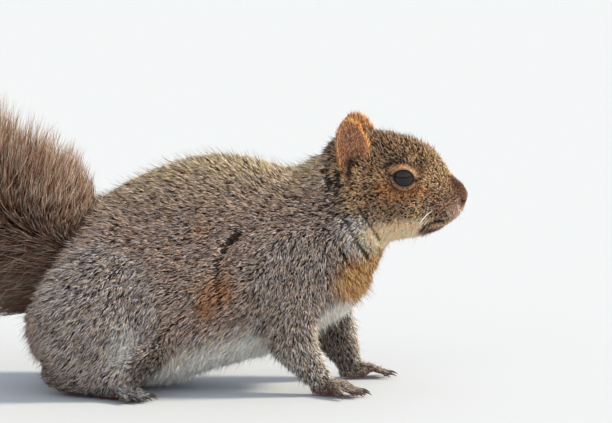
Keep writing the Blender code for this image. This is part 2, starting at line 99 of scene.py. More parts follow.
# What each region of the coat is like: depth of the coat under its outline, length and width of
# a tuft, tufts to a square millimetre, how steeply they stand at the root and at the tip.
REGIONS = {
    "head": (1.9, 3.5, 0.35, 4.8, 52, 33),
    "nose": (0.2, 1.1, 0.2, 7, 25, 12),
    "ear": (0.45, 2.4, 0.22, 5.5, 25, 12),
    "neck": (4.4, 6.6, 0.39, 3.9, 56, 36),
    "trunk": (4.4, 7, 0.4, 3.3, 55, 32),
    "thigh": (4.2, 7, 0.39, 3.3, 52, 30),
    "shank": (2.2, 4.6, 0.38, 3.6, 43, 22),
    "upper_arm": (3.6, 6, 0.36, 3.8, 54, 31),
    "forearm": (2.2, 4.2, 0.36, 4.2, 45, 24),
    "forefoot": (0.7, 2.4, 0.28, 4.4, 25, 10),
    "hindfoot": (0.8, 2.6, 0.3, 4, 25, 10),
    "tail": (0, 6, 0.5, 0.5, 35, 20),
}
REGION_NAMES = tuple(REGIONS)

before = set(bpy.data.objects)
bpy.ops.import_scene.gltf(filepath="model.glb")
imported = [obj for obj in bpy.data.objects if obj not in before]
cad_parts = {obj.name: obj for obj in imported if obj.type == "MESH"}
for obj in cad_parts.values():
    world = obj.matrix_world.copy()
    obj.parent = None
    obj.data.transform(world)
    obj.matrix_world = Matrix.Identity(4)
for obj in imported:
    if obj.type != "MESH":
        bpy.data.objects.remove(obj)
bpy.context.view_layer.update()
rng = np.random.default_rng(SEED)


# ---- arrays and meshes

def column(data, attribute, width, kind=np.float32):
    values = np.empty(len(data) * width, kind)
    data.foreach_get(attribute, values)
    return values.reshape(-1, width)


def norms(vectors):
    return np.linalg.norm(vectors, axis=1)


def unit(vectors):
    return vectors / np.maximum(norms(vectors)[:, None], 1e-9)


def flattened(vectors, normals):
    """The vectors less their parts along the normals."""
    return vectors - normals * (vectors * normals).sum(1, keepdims=True)


def turned(vectors, towards, angles):
    """Unit vectors turned by these angles towards others at right angles to them."""
    return vectors * np.cos(angles)[:, None] + towards * np.sin(angles)[:, None]


def ramp(start, end, value):
    """0 up to the start and 1 from the end, which may be the lower one, and smooth between them."""
    t = np.clip((value - start) / (end - start), 0, 1)
    return t * t * (3 - 2 * t)


def blend(a, b, weight):
    weight = np.asarray(weight)
    return a + (b - a) * (weight[:, None] if weight.ndim == 1 else weight)


def bell(value, width):
    return np.exp(-((value / width) ** 2))


def reach_in(points, centre, radii):
    """How far out from the middle of an ellipsoid each point is: 1 on its surface."""
    return norms((points - centre) / radii)


def blob(points, centre, radii, soft=0.45):
    """1 inside an ellipsoid, falling to 0 a little outside it."""
    return 1 - ramp(1 - soft, 1 + soft, reach_in(points, centre, radii))


def line_distance(across, line):
    """The distance of two-number places from a line of straight runs."""
    nearest = np.full(len(across), np.inf)
    line = np.array(line, float)
    for start, end in zip(line, line[1:]):
        run = end - start
        share = np.clip((across - start) @ run / (run @ run), 0, 1)
        nearest = np.minimum(nearest, norms(across - start - share[:, None] * run))
    return nearest


def lateral(points):
    """How far each point is from the middle plane, positive on the left side."""
    return points[:, 1] - math.tan(HEAD_HEADING) * np.clip(points[:, 0] - HEAD_TURN_X, 0, None)


def folded(points):
    """The points with their distance from the middle plane for y, so that both sides look alike."""
    return np.stack([points[:, 0], np.abs(lateral(points)), points[:, 2]], axis=1)


def in_regions(region, *names):
    """Which of these region numbers belong to the named regions."""
    return np.isin(region, [REGION_NAMES.index(name) for name in names])


def linear(colour):
    """A screen colour as the linear one that shaders use."""
    c = np.asarray(colour, float) / 255
    return np.where(c <= 0.04045, c / 12.92, ((c + 0.055) / 1.055) ** 2.4)


def node_triangles(name):
    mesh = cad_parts[name].data
    mesh.calc_loop_triangles()
    points = column(mesh.vertices, "co", 3).astype(float) / MM
    return points, column(mesh.loop_triangles, "vertices", 3, np.int32)


def names_of(*starts):
    return [n for n in sorted(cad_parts) if n.startswith(starts)]


def tree_of(names):
    """A search tree over these nodes, and the number in names of each of its faces' nodes."""
    points, faces, owner = [], [], []
    start = 0
    for number, name in enumerate(names):
        p, f = node_triangles(name)
        points.append(p)
        faces.append(f + start)
        owner.append(np.full(len(f), number))
        start += len(p)
    tree = BVHTree.FromPolygons(np.concatenate(points).tolist(), np.concatenate(faces).tolist())
    return tree, np.concatenate(owner)


def add_object(name, data):
    obj = bpy.data.objects.new(name, data)
    bpy.context.scene.collection.objects.link(obj)
    return obj


def summed(numbers, values, count):
    """For each number under count, the sum of the rows of values that belong to it."""
    return np.stack([np.bincount(numbers, part, count) for part in values.T], axis=1)


def new_mesh(name, points, faces):
    """A mesh object from millimetre points and an array of triangles."""
    mesh = bpy.data.meshes.new(name)
    mesh.vertices.add(len(points))
    mesh.vertices.foreach_set("co", (points * MM).astype(np.float32).ravel())
    mesh.loops.add(faces.size)
    mesh.loops.foreach_set("vertex_index", faces.astype(np.int32).ravel())
    mesh.polygons.add(len(faces))
    mesh.polygons.foreach_set("loop_start", np.arange(0, faces.size, 3, dtype=np.int32))
    mesh.update(calc_edges=True)
    mesh.polygons.foreach_set("use_smooth", np.ones(len(faces), bool))
    return add_object(name, mesh)


def paint(obj, colours):
    """Stores one linear colour for each vertex."""
    layer = obj.data.color_attributes.new("Markings", "FLOAT_COLOR", "POINT")
    rgba = np.ones((len(colours), 4), np.float32)
    rgba[:, :3] = colours
    layer.data.foreach_set("color", rgba.ravel())


def lay_out(obj, uv, faces):
    """Stores the map OFBake from one place for each vertex."""
    layer = obj.data.uv_layers.new(name="OFBake")
    layer.data.foreach_set("uv", uv[faces.ravel()].astype(np.float32).ravel())


# ---- skin

def tail_core(bm):
    """Adds the tube of the tail's core."""
    along = unit(np.gradient(TAIL_LINE, axis=0))
    across = np.array((0, 1, 0))
    rings = []
    for centre, direction, (_, _, radius) in zip(TAIL_LINE, along, TAIL_CORE):
        upward = np.cross(direction, across)
        ring = []
        for k in range(CORE_SIDES):
            angle = 2 * math.pi * k / CORE_SIDES
            offset = across * math.cos(angle) + upward * math.sin(angle)
            ring.append(bm.verts.new((centre + offset * radius) * MM))
        rings.append(ring)
    for one, two in zip(rings, rings[1:]):
        for k in range(CORE_SIDES):
            bm.faces.new((one[k - 1], one[k], two[k], two[k - 1]))
    bm.faces.new(rings[0][::-1])
    bm.faces.new(rings[-1])


def joined_flesh():
    """One closed mesh of the flesh, out to the tips of the coat, with the bare core for a tail."""
    bm = bmesh.new()
    for name in FLESH + EYES:
        bm.from_mesh(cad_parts[name].data)
    bmesh.ops.remove_doubles(bm, verts=bm.verts, dist=1e-6)
    bm.normal_update()
    for vertex in bm.verts:
        vertex.co += vertex.normal * CLOSING * MM
    tail_core(bm)
    bmesh.ops.recalc_face_normals(bm, faces=bm.faces)
    mesh = bpy.data.meshes.new("flesh")
    bm.to_mesh(mesh)
    bm.free()
    obj = add_object("flesh", mesh)
    remesh = obj.modifiers.new("voxels", "REMESH")
    remesh.mode = "VOXEL"
    remesh.voxel_size = SKIN_VOXEL * MM
    evaluated = obj.evaluated_get(bpy.context.evaluated_depsgraph_get())
    joined = bpy.data.meshes.new_from_object(evaluated)
    bpy.data.objects.remove(obj)
    return joined


def drop_inner_shells(bm):
    """Keeps only the largest connected shell, the outer one."""
    left, shells = set(bm.verts), []
    while left:
        shell = [left.pop()]
        for vertex in shell:
            others = {edge.other_vert(vertex) for edge in vertex.link_edges} & left
            left -= others
            shell.extend(others)
        shells.append(shell)
    shells.sort(key=len)
    inner = [vertex for shell in shells[:-1] for vertex in shell]
    bmesh.ops.delete(bm, geom=inner, context="VERTS")


def refined(mesh, inside, times):
    """The mesh as points and triangles, cut finer where the middles of its faces are inside."""
    bm = bmesh.new()
    bm.from_mesh(mesh)
    drop_inner_shells(bm)
    for reach in range(times):
        middles = np.array([f.calc_center_median() for f in bm.faces]) / MM
        chosen = np.flatnonzero(inside(middles, reach))
        bm.faces.ensure_lookup_table()
        edges = list({e for i in chosen for e in bm.faces[i].edges})
        bmesh.ops.subdivide_edges(bm, edges=edges, cuts=1, use_grid_fill=True)
    bmesh.ops.triangulate(bm, faces=bm.faces)
    points = np.array([v.co for v in bm.verts]) / MM
    faces = np.array([[v.index for v in f.verts] for f in bm.faces])
    bm.free()
    return points, faces


def fine_face(middles, reach):
    """Where the skin is cut finer: the face at first, then the lids, the mouth and the nose."""
    eyes = np.full(len(middles), np.inf)
    for centre in EYE_CENTRES.values():
        eyes = np.minimum(eyes, norms(middles - centre))
    if reach == 0:
        return (middles[:, 0] > FACE_FINE) | (eyes < EYE_RADIUS + 7)
    near = middles[:, 0] > 175
    near |= (middles[:, 0] > 156) & (line_distance(middles[:, [0, 2]], MOUTH) < 1.8)
    return near | (eyes < EYE_RADIUS + 2.5)


class Skin:
    """The skin's points and triangles, with what is known at each point."""

    def __init__(self, points, faces):
        self.points = points
        self.faces = faces
        pairs = np.concatenate([faces[:, [0, 1]], faces[:, [1, 2]], faces[:, [2, 0]]])
        self.pairs = np.unique(np.sort(pairs, axis=1), axis=0)
        ends = self.pairs.ravel()
        self.valence = np.bincount(ends, minlength=len(points)).astype(float)
        self.update()

    def update(self):
        a, b, c = (self.points[self.faces[:, k]] for k in range(3))
        crossed = np.cross(b - a, c - a)
        self.areas = np.linalg.norm(crossed, axis=1) / 2
        self.normals = unit(self.gathered(crossed))

    def gathered(self, face_values):
        """The sum of the values of the faces round each point."""
        return sum(summed(corners, face_values, len(self.points)) for corners in self.faces.T)

    def averaged(self, values):
        """Each point's mean over its neighbours."""
        flat = values.reshape(len(values), -1)
        a, b = self.pairs.T
        total = summed(a, flat[b], len(flat)) + summed(b, flat[a], len(flat))
        return (total / self.valence[:, None]).reshape(values.shape)

    def smoothed(self, values, times, share=0.5):
        for _ in range(times):
            values = values + (self.averaged(values) - values) * share
        return values

    def lay(self, vectors):
        """The vectors laid flat on the skin."""
        return unit(flattened(vectors, self.normals))


def is_region(skin, *names):
    """1 on the named regions of the skin and 0 off them."""
    return in_regions(skin.region, *names).astype(float)


def by_region(skin, table, pick=slice(None)):
    """What the table says, or one item of it, for the region of each point."""
    return np.array([table[name][pick] for name in REGION_NAMES], float)[skin.region]


def region_of(points):
    """The number in REGION_NAMES of the region that each point is nearest to."""
    names = FLESH + TAIL_NODES
    tree, owner = tree_of(names)
    kinds = np.array(
        [next(k for k, kind in enumerate(REGION_NAMES) if n.startswith(kind)) for n in names]
    )
    found = [tree.find_nearest(p)[2] for p in points.tolist()]
    return kinds[owner[found]]


def eye_frame(side):
    """The middle of an eye, and its forward, upward and outward directions."""
    cosine, sine = math.cos(HEAD_HEADING), math.sin(HEAD_HEADING)
    turn = np.array(((cosine, -sine, 0), (sine, cosine, 0), (0, 0, 1)))
    outward = turn @ np.array((0.22, SIDES[side], 0.12))
    outward /= np.linalg.norm(outward)
    forward = turn @ np.array((1, 0, -0.18))
    forward -= outward * (forward @ outward)
    forward /= np.linalg.norm(forward)
    upward = np.cross(forward, outward) * SIDES[side]
    return EYE_CENTRES[side], forward, upward, outward


def eye_reach(points, side):
    """How far out from the middle of the eye's opening each point is, seen from straight in front
    of the eye: 1 on the edge of the lids."""
    centre, forward, upward, outward = eye_frame(side)
    away = points - centre
    along, height, out = away @ forward, away @ upward, away @ outward
    share = np.abs(along / LID_HALF_LENGTH) ** LID_ROUNDNESS
    share += np.abs(height / LID_HALF_HEIGHT) ** LID_ROUNDNESS
    reach = share ** (1 / LID_ROUNDNESS)
    behind = 9
    return np.where(out > 0, reach, behind)


def set_eyes(skin):
    """Opens the lids over each eyeball and raises their rims."""
    for side in SIDES:
        centre, _, _, outward = eye_frame(side)
        away = skin.points - centre
        out = away @ outward
        across = away - out[:, None] * outward
        reach = eye_reach(skin.points, side)
        near = norms(away) < EYE_RADIUS + 6
        edge = near & (np.abs(reach - 1) < LID_SNAP)
        across[edge] /= reach[edge, None]
        reach[edge] = 1
        aside = norms(across)
        rim = bell(reach - LID_CREST, 0.08)
        shell = EYE_RADIUS + 0.05 + LID_THICKNESS * rim
        wanted = np.sqrt(np.maximum(shell**2 - aside**2, 0))
        blend_in = 1 - ramp(1.15, 1.9, reach)
        lid = near & (reach >= 1) & (reach < 2)
        out[lid] += ((wanted - out) * blend_in)[lid]
        hole = near & (reach < 1)
        out[hole] = np.sqrt(np.maximum((EYE_RADIUS - 1) ** 2 - aside**2, 0.5))[hole]
        moved = lid | hole
        skin.points[moved] = (centre + across + out[:, None] * outward)[moved]


def carve_face(skin):
    """Cuts the mouth, the groove under the nose and the nostrils, and rounds the lips, the
    nostrils' rims and the whisker pads."""
    points = skin.points
    profile = points[:, [0, 2]]
    mouth = line_distance(profile, MOUTH)
    lips = bell(mouth, 0.5) - 0.35 * bell(mouth - 1.3, 0.7)
    inward = np.where(points[:, 0] > MOUTH_CARVED_FROM, lips, 0)
    groove = np.hypot(line_distance(profile, PHILTRUM) * 0.3, lateral(points))
    inward += np.where(points[:, 0] > PHILTRUM_FROM, 0.8 * bell(groove, 0.5), 0)
    mirrored = folded(points)
    nostril = reach_in(mirrored, NOSTRIL, NOSTRIL_SIZE)
    inward += 2 * bell(nostril, 1) - 0.45 * bell(nostril - 2, 0.6)
    inward -= 0.5 * bell(reach_in(mirrored, WHISKER_PAD, WHISKER_PAD_SIZE), 1)
    skin.points = points - skin.normals * inward[:, None]


def head_depth(points):
    """The coat's depth over the head: least round the eyes, on the muzzle and at the lips."""
    depth = np.full(len(points), REGIONS["head"][0])
    depth *= 1 - 0.7 * ramp(155, 172, points[:, 0])
    for centre in EYE_CENTRES.values():
        away = norms(points - centre)
        depth *= 0.15 + 0.85 * ramp(EYE_RADIUS + 0.5, EYE_RADIUS + 6.5, away)
    return depth


def claw_line(name):
    """The middle of a claw's base, the level direction in which it points, and how far along that
    direction each of its points is from its base."""
    points, _ = node_triangles(name)
    flat = points[:, :2] - points[:, :2].mean(axis=0)
    ahead = np.linalg.svd(flat, full_matrices=False)[2][0]
    ahead = np.append(ahead * np.sign(ahead[0]), 0)
    run = points @ ahead
    run -= run.min()
    return points[run < 0.5].mean(axis=0), ahead, run


def reach_claws(skin):
    """Draws the ends of the toes, which the rounding has shortened, out to the claws."""
    for name in names_of("claw"):
        base, ahead, _ = claw_line(name)
        offset = skin.points - base
        end = np.argmin(norms(offset + ahead * 2))
        gap = -offset[end] @ ahead
        weight = 1 - ramp(0.8, 4.2, norms(skin.points - skin.points[end]))
        skin.points = skin.points + weight[:, None] * ahead * max(gap, 0)


def make_skin():
    """The skin: under the flesh's outline by the depth of the coat, with its face and its toes."""
    points, faces = refined(joined_flesh(), fine_face, 2)
    skin = Skin(points, faces)
    skin.region = region_of(points)
    depth = by_region(skin, REGIONS, 0)
    is_head = in_regions(skin.region, "head")
    depth[is_head] = head_depth(points[is_head])
    depth = skin.smoothed(depth, REGION_ROUNDS)
    skin.points = skin.smoothed(skin.points, EDGE_ROUNDS)
    skin.update()
    skin.normals = unit(skin.smoothed(skin.normals, 2))
    skin.points = skin.points - skin.normals * (depth + CLOSING)[:, None]
    thick = ramp(1.5, 4, depth)[:, None]
    skin.points = blend(skin.points, skin.smoothed(skin.points, 6), thick)
    skin.depth = depth
    reach_claws(skin)
    skin.update()
    carve_face(skin)
    set_eyes(skin)
    skin.update()
    return skin


# ---- markings, and painted light and shade

# Screen colours of the darker and the paler hairs of each region and of each marking, painted light
# and shade among them.
COLOURS = {
    "head": ((30, 18, 11), (246, 204, 160)),
    "nose": ((74, 46, 36), (136, 98, 78)),
    "ear": ((128, 82, 50), (226, 172, 122)),
    "neck": ((28, 18, 14), (214, 190, 176)),
    "trunk": ((56, 36, 25), (230, 204, 188)),
    "thigh": ((70, 51, 41), (236, 220, 212)),
    "shank": ((52, 42, 36), (190, 174, 162)),
    "upper_arm": ((40, 29, 24), (226, 208, 196)),
    "forearm": ((54, 44, 38), (222, 212, 204)),
    "forefoot": ((64, 49, 42), (166, 154, 145)),
    "hindfoot": ((34, 33, 34), (150, 152, 156)),
    "tail": ((62, 44, 32), (150, 122, 98)),
}
WHITE = ((222, 216, 206), (255, 253, 248))
# Painted sunlight, warm and pale, on the upward-facing top of the back
PAINTED_BACK_SUNLIGHT = ((92, 56, 32), (255, 226, 190))
FOREHEAD = ((88, 55, 34), (255, 214, 168))
CROWN = ((20, 13, 9), (196, 163, 132))
RUST = ((136, 74, 32), (255, 206, 146))
FLANK_RUST = ((104, 56, 26), (226, 150, 92))
BUFF = ((180, 136, 100), (228, 190, 152))
CHEEK = ((48, 32, 23), (168, 136, 110))
MUZZLE = ((50, 32, 23), (224, 182, 150))
UNDER_EYE = ((96, 52, 24), (218, 160, 108))
BROW = ((30, 19, 13), (76, 55, 41))
JAW = ((246, 204, 160), (255, 242, 212))
FROST = ((166, 162, 158), (250, 248, 246))
# Painted light on the forward-facing side of the forearms
PAINTED_FOREARM_LIGHT = ((140, 124, 108), (252, 240, 224))
# Painted shade: in front of the knee and on the inner sides of the forelegs
PAINTED_LEG_SHADE = ((34, 28, 26), (142, 130, 122))
NOSE = ((58, 37, 29), (176, 132, 100))
NOSE_TOP = ((40, 26, 19), (122, 88, 66))
# Painted highlight on the lit front of the nose
PAINTED_NOSE_HIGHLIGHT = ((118, 84, 66), (196, 156, 128))
NOSTRIL_RED = ((84, 38, 31), (112, 56, 46))
LIP = ((142, 114, 98), (230, 204, 184))
MOUTH_DARK = ((30, 20, 16), (46, 32, 27))
CHIN = ((74, 52, 42), (150, 118, 98))
LID = ((26, 18, 15), (40, 29, 25))
# The ear's hollow: its own rufous colour, made paler as painted light glowing through the thin ear
CONCHA_AND_GLOW = ((118, 74, 52), (238, 180, 140))
EAR_RIM = ((202, 112, 44), (255, 206, 136))
# Painted shade in the notch at the base of each ear and up into its hollow
EAR_NOTCH_SHADE = ((46, 30, 22), (92, 64, 46))
SOLE = ((108, 62, 50), (146, 90, 72))


def coat_layers(skin):
    """The markings and the painted light and shade, from the first laid to the last, each with how
    strong it is at each point.
    """
    points, normals = skin.points, skin.normals
    x, _, z = points.T
    mirrored = folded(points)
    profile = points[:, [0, 2]]
    body = is_region(skin, "trunk", "neck", "thigh", "upper_arm")
    belly = ramp(0.25, 0.75, -normals[:, 2]) * ramp(62, 44, z) * ramp(-50, -10, x)
    # the upward-facing top of the back, where the painted sunlight goes
    back = ramp(78, 112, z) * ramp(0.1, 0.9, normals[:, 2])
    mouth = line_distance(profile, MOUTH)
    legs = is_region(skin, "upper_arm", "forearm")
    inner = legs * ramp(0.1, 0.6, -normals[:, 1] * np.sign(points[:, 1]))
    hollow, rim = ear_hollow(skin)

    def spot(centre, radii, soft=0.45):
        return blob(mirrored, centre, radii, soft)

    return [
        # painted sunlight on the top of the back, strongest where the skin faces up
        (PAINTED_BACK_SUNLIGHT, body * back * 0.9),
        (WHITE, body * belly),
        (RUST, spot((131, 14, 59), (18, 25, 13), 0.35)),
        (RUST, spot((143, 6, 68), (9, 18, 9)) * 0.8),
        (WHITE, spot((120, 10, 38.5), (17, 25, 9.5), 0.3)),
        (FLANK_RUST, spot((53.5, 38, 48.5), (5, 14, 9), 0.8) * 0.6),
        (FLANK_RUST, spot((62, 38, 55), (5, 14, 7), 0.8) * 0.6),
        (FLANK_RUST, spot((50.7, 36, 83), (4, 14, 5), 0.8) * 0.3),
        (FROST, spot((11.5, 44, 27), (8, 20, 12), 0.7) * 0.95),
        # painted shade in front of the knee
        (PAINTED_LEG_SHADE, spot((23.5, 40, 17), (8, 16, 6)) * 0.75),
        (FROST, spot((128, 20, 80), (13, 18, 10), 0.6) * 0.7),
        # painted shade on the inner sides of the forelegs
        (PAINTED_LEG_SHADE, inner * 0.85),
        # painted light on the forward-facing side of the forearms
        (PAINTED_FOREARM_LIGHT, is_region(skin, "forearm") * ramp(0.35, 0.75, normals[:, 0]) * 0.7),
        (JAW, spot((149, 8, 80), (25, 24, 8.5), 0.3)),
        (CROWN, is_region(skin, "head") * ramp(109, 117, z) * 0.8),
        (CHEEK, spot((140, 20, 98), (14, 12, 12)) * 0.6),
        (MUZZLE, spot((171, 6, 94), (11, 14, 9))),
        (FOREHEAD, spot((161.5, 5, 110), (17, 12, 10)) * 0.85),
        (BROW, spot((157.5, 13, 111.5), (2.6, 14, 5)) * 0.3),
        (UNDER_EYE, spot((149, 16, 101), (13, 14, 4.4)) * 0.8),
        (UNDER_EYE, spot((139, 18, 103.5), (5, 12, 5)) * 0.4),
        (CHIN, spot((163, 0, 82), (7, 8, 3.2), 0.3)),
        (LIP, spot((174, 5, 90.5), (4.5, 9, 4.2))),
        (MOUTH_DARK, (x > MOUTH_DARK_FROM) * (1 - ramp(0.6, 1.2, mouth))),
        (NOSE, spot((179.5, 0, 98.8), (5, 6, 5), 0.2)),
        (NOSE, spot((176.5, 0, 101), (5, 6.5, 4), 0.4)),
        (NOSE_TOP, spot((176.5, 0, 104.5), (4.6, 8, 3.4), 0.7)),
        # painted highlight on the front of the nose
        (PAINTED_NOSE_HIGHLIGHT, spot((182.2, 0, 98), (2.4, 5, 5), 0.4)),
        (NOSTRIL_RED, spot((178.9, 4.6, 94), (2.2, 1.5, 1.6), 0.4)),
        (MOUTH_DARK, spot(NOSTRIL, (1.5, 1.9, 1.1), 0.3)),
        # the hollow's own colour with painted glow of light through the ear
        (CONCHA_AND_GLOW, hollow),
        (EAR_RIM, rim),
        # painted shade in the notch at the base of the ear
        (EAR_NOTCH_SHADE, blob(profile, (122.4, 111), (1.5, 6), 0.5) * ramp(14, 17, mirrored[:, 1])),
        (SOLE, is_region(skin, "forefoot", "hindfoot") * ramp(0.1, 0.5, -normals[:, 2])),
    ]


def eye_layers(points):
    """The same for the brow over each eye, the pale ring round it and its dark lids."""
    layers = []
    for side in SIDES:
        centre, _, upward, _ = eye_frame(side)
        height = (points - centre) @ upward
        over = ramp(0.6, 3.2, height)
        reach = eye_reach(points, side)
        outer = 1.28 + 0.42 * over
        ring = ramp(1.06, 1.12, reach) * (1 - ramp(outer - 0.1, outer + 0.2, reach))
        corner = 1 - ramp(0.3, 0.8, np.abs(height))
        corner *= 1 - ramp(1.25, 1.45, reach)
        margin = 1 - ramp(*LID_MARGIN, reach)
        layers.append((BROW, over * bell(reach - outer - 0.35, 0.26)))
        layers.append((BUFF, ring * (0.45 + 0.4 * over)))
        layers.append((LID, np.maximum(margin, corner * 0.8)))
    return layers


def marked(skin):
    """The linear colours of the darker and the paler hairs at each point."""
    layers = coat_layers(skin) + eye_layers(skin.points)
    both = []
    for shade in range(2):
        colours = skin.smoothed(by_region(skin, COLOURS, shade), COLOUR_ROUNDS)
        for marking, weight in layers:
            colours = blend(colours, marking[shade], weight)
        both.append(linear(colours))
    return both


def ear_box(side):
    return [np.array(corner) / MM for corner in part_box(f"ear_{side}")]


def ear_hollow(skin):
    """1 in the hollow of each ear and 0 outside it, and the same for the ear's rim."""
    hollow = np.zeros(len(skin.points))
    rim = np.zeros(len(skin.points))
    for side, sign in SIDES.items():
        low, high = ear_box(side)
        middle = (low + high) / 2
        outward = unit(np.array([(0.9, sign, 0)]))[0]
        facing = skin.normals @ outward
        mine = np.sign(skin.points[:, 1] - NOSE_TIP[1] * 0.4) == sign
        near = reach_in(skin.points, middle, high - low) < 0.46
        hollow += mine * near * ramp(0.15, 0.5, facing)
        upper = ramp(low[2] + 3, low[2] + 7, skin.points[:, 2])
        rim += mine * upper * (1 - ramp(0.15, 0.45, np.abs(facing)))
    on_ear = is_region(skin, "ear")
    return hollow * on_ear, rim * on_ear


# ---- lie of the coat

# The way the hairs of each region point, with y away from the body
LIES = {
    "neck": (-1, 0, -0.5),
    "trunk": (-1, 0, -0.28),
    "thigh": (-0.75, 0, -0.8),
    "shank": (-1, 0, -0.35),
    "upper_arm": (-0.45, 0, -1),
    "forearm": (0.25, 0, -1),
    "forefoot": (1, 0, -0.35),
    "hindfoot": (1, 0.5, -0.2),
    "ear": (-0.35, 0, 1),
    "nose": (-1, 0, 0),
    "tail": (-0.7, 0, 0.7),
    "head": (-1, 0, 0),
}


def lie_of(skin):
    """The direction in which the hairs point at each point of the skin."""
    points = skin.points
    lie = by_region(skin, LIES)
    lie[:, 1] *= np.sign(points[:, 1])
    head = in_regions(skin.region, "head")
    lie[head] = unit(points[head] - NOSE_TIP) + (-0.25, 0, -0.1)
    rump = is_region(skin, "trunk") * ramp(-18, -38, points[:, 0])
    lie = blend(lie, (-0.5, 0, -1), rump)
    chest = is_region(skin, "trunk", "neck") * (skin.normals[:, 0] > 0.3)
    lie = blend(lie, (-0.3, 0, -1), chest)
    for side in SIDES:
        low, high = ear_box(side)
        root = np.array(((low[0] + high[0]) / 2, (low[1] + high[1]) / 2, low[2] - 6))
        mine = in_regions(skin.region, "ear") & (np.sign(points[:, 1]) == np.sign(root[1]))
        lie[mine] = points[mine] - root
    lie = skin.smoothed(unit(lie), LIE_ROUNDS)
    for side in SIDES:
        centre, _, _, outward = eye_frame(side)
        away = points - centre
        away = away - (away @ outward)[:, None] * outward
        near = 1 - ramp(1.2, 2.4, eye_reach(points, side))
        lie = lie + unit(away) * near[:, None] * 3
    near, away = parting(points, 0.5, 3)
    lie = lie + away * near[:, None] * 0.5
    return skin.lay(lie)


def ripple(points, wavelength, count=5):
    """Smooth noise between about -1 and 1 with waves about this long."""
    total = np.zeros(len(points))
    for _ in range(count):
        wave = unit(rng.normal(size=(1, 3)))[0] / (wavelength * rng.uniform(0.7, 1.4))
        total += np.sin(points @ wave * 2 * math.pi + rng.uniform(0, 2 * math.pi))
    return total / math.sqrt(count)


# ---- coat

BAKE_PATCH = 0.003  # the width of a tuft's own patch of the map
WIDEST = 0.45  # how far along a tuft is widest
ROOT_DEPTH = 0.25  # how far the roots are under the skin
FLOOR_GAP = 0.35  # how far over the floor the hairs stay
CLUMPS = {"head": 1, "body": 0.7}  # hairs this near to each other mostly lie and look alike
CLUMP_SHARE = 0.88
HUE = (0.1, -0.03, -0.2)  # how far a clump's colour swings to rufous, or the other way to grey
COLOUR_LIMITS = (0.003, 0.95)
BACK_SPLIT = 45  # the coat of the back is parted at this x
PART_INNER, PART_OUTER = 0.3, 1.1  # where a parting's bareness starts and ends, in its widths

# The pieces of the short coat on each side: name, regions and slot
GROUPS = (
    ("head", ("head", "nose"), "body_fur"),
    ("ear", ("ear",), "ear_fur"),
    ("neck", ("neck",), "body_fur"),
    ("back", ("trunk",), "body_fur"),
    ("hip", ("thigh",), "leg_fur"),
    ("arm", ("upper_arm", "forearm"), "leg_fur"),
    ("foot", ("forefoot", "hindfoot", "shank"), "leg_fur"),
)


def scattered(skin, density):
    """Random places on the skin, as a face and three weights each. density is tufts to a square
    millimetre at each point."""
    wanted = density[skin.faces].min(axis=1) * skin.areas
    total = np.cumsum(wanted)
    count = int(total[-1])
    picks = (np.arange(count) + rng.random(count)) / count * total[-1]
    face = np.minimum(np.searchsorted(total, picks), len(wanted) - 1)
    a, b = rng.random(count), rng.random(count)
    over = a + b > 1
    a[over], b[over] = 1 - a[over], 1 - b[over]
    return face, np.stack([1 - a - b, a, b], axis=1)


def at_places(skin, values, face, weights):
    """Values of the skin's points at places on its faces."""
    corners = values[skin.faces[face]]
    if corners.ndim == 3:
        weights = weights[:, :, None]
    return (corners * weights).sum(axis=1)


def unwrapped(points):
    """Each point's place on a map rolled off a tube along the points' own longest direction."""
    centred = points - points.mean(axis=0)
    _, _, axes = np.linalg.svd(centred, full_matrices=False)
    along, across, deep = (centred @ axis for axis in axes)
    flat = np.stack([np.arctan2(deep, across), along], axis=1)
    low, high = flat.min(axis=0), flat.max(axis=0)
    return 0.01 + 0.98 * (flat - low) / (high - low)


def tuft_mesh(name, paths, side, girth, colours):
    """One piece of the coat, of tufts with a three-sided section. paths holds each tuft's points
    from root to tip, girth the half width at its inner points, and colours one for each point."""
    count, steps, _ = paths.shape
    rings = steps - 2
    order = np.concatenate([[0], np.repeat(np.arange(1, steps - 1), 3), [steps - 1]])
    per_tuft = len(order)
    points = paths[:, order]
    place = np.zeros((per_tuft, 2))
    place[0, 1], place[-1, 1] = -0.5, 0.5
    for r in range(rings):
        along = unit(paths[:, r + 2] - paths[:, r])
        wide = unit(flattened(side, along))
        thick = np.cross(along, wide)
        for k in range(3):
            offset = wide * (k - 1) + thick * (0.9 if k == 1 else -0.3)
            points[:, 1 + 3 * r + k] += offset * girth[:, r, None]
            place[1 + 3 * r + k] = (0.5 * (k - 1), (r + 1) / (rings + 1) - 0.5)
    faces = []
    for k in range(3):
        j = (k + 1) % 3
        faces.append((0, 1 + k, 1 + j))
        for low in range(1, per_tuft - 4, 3):
            faces.append((low + k, low + 3 + j, low + j))
            faces.append((low + k, low + 3 + k, low + 3 + j))
        last = per_tuft - 4
        faces.append((last + j, last + k, last + 3))
    faces = (np.array(faces)[None] + (np.arange(count) * per_tuft)[:, None, None]).reshape(-1, 3)
    uv = unwrapped(paths[:, 0])[:, None, :] + place[None] * BAKE_PATCH
    obj = new_mesh(name, points.reshape(-1, 3), faces)
    paint(obj, colours[:, order].reshape(-1, 3))
    lay_out(obj, uv.reshape(-1, 2), faces)
    obj.data.materials.append(COAT)
    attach(obj, "root")


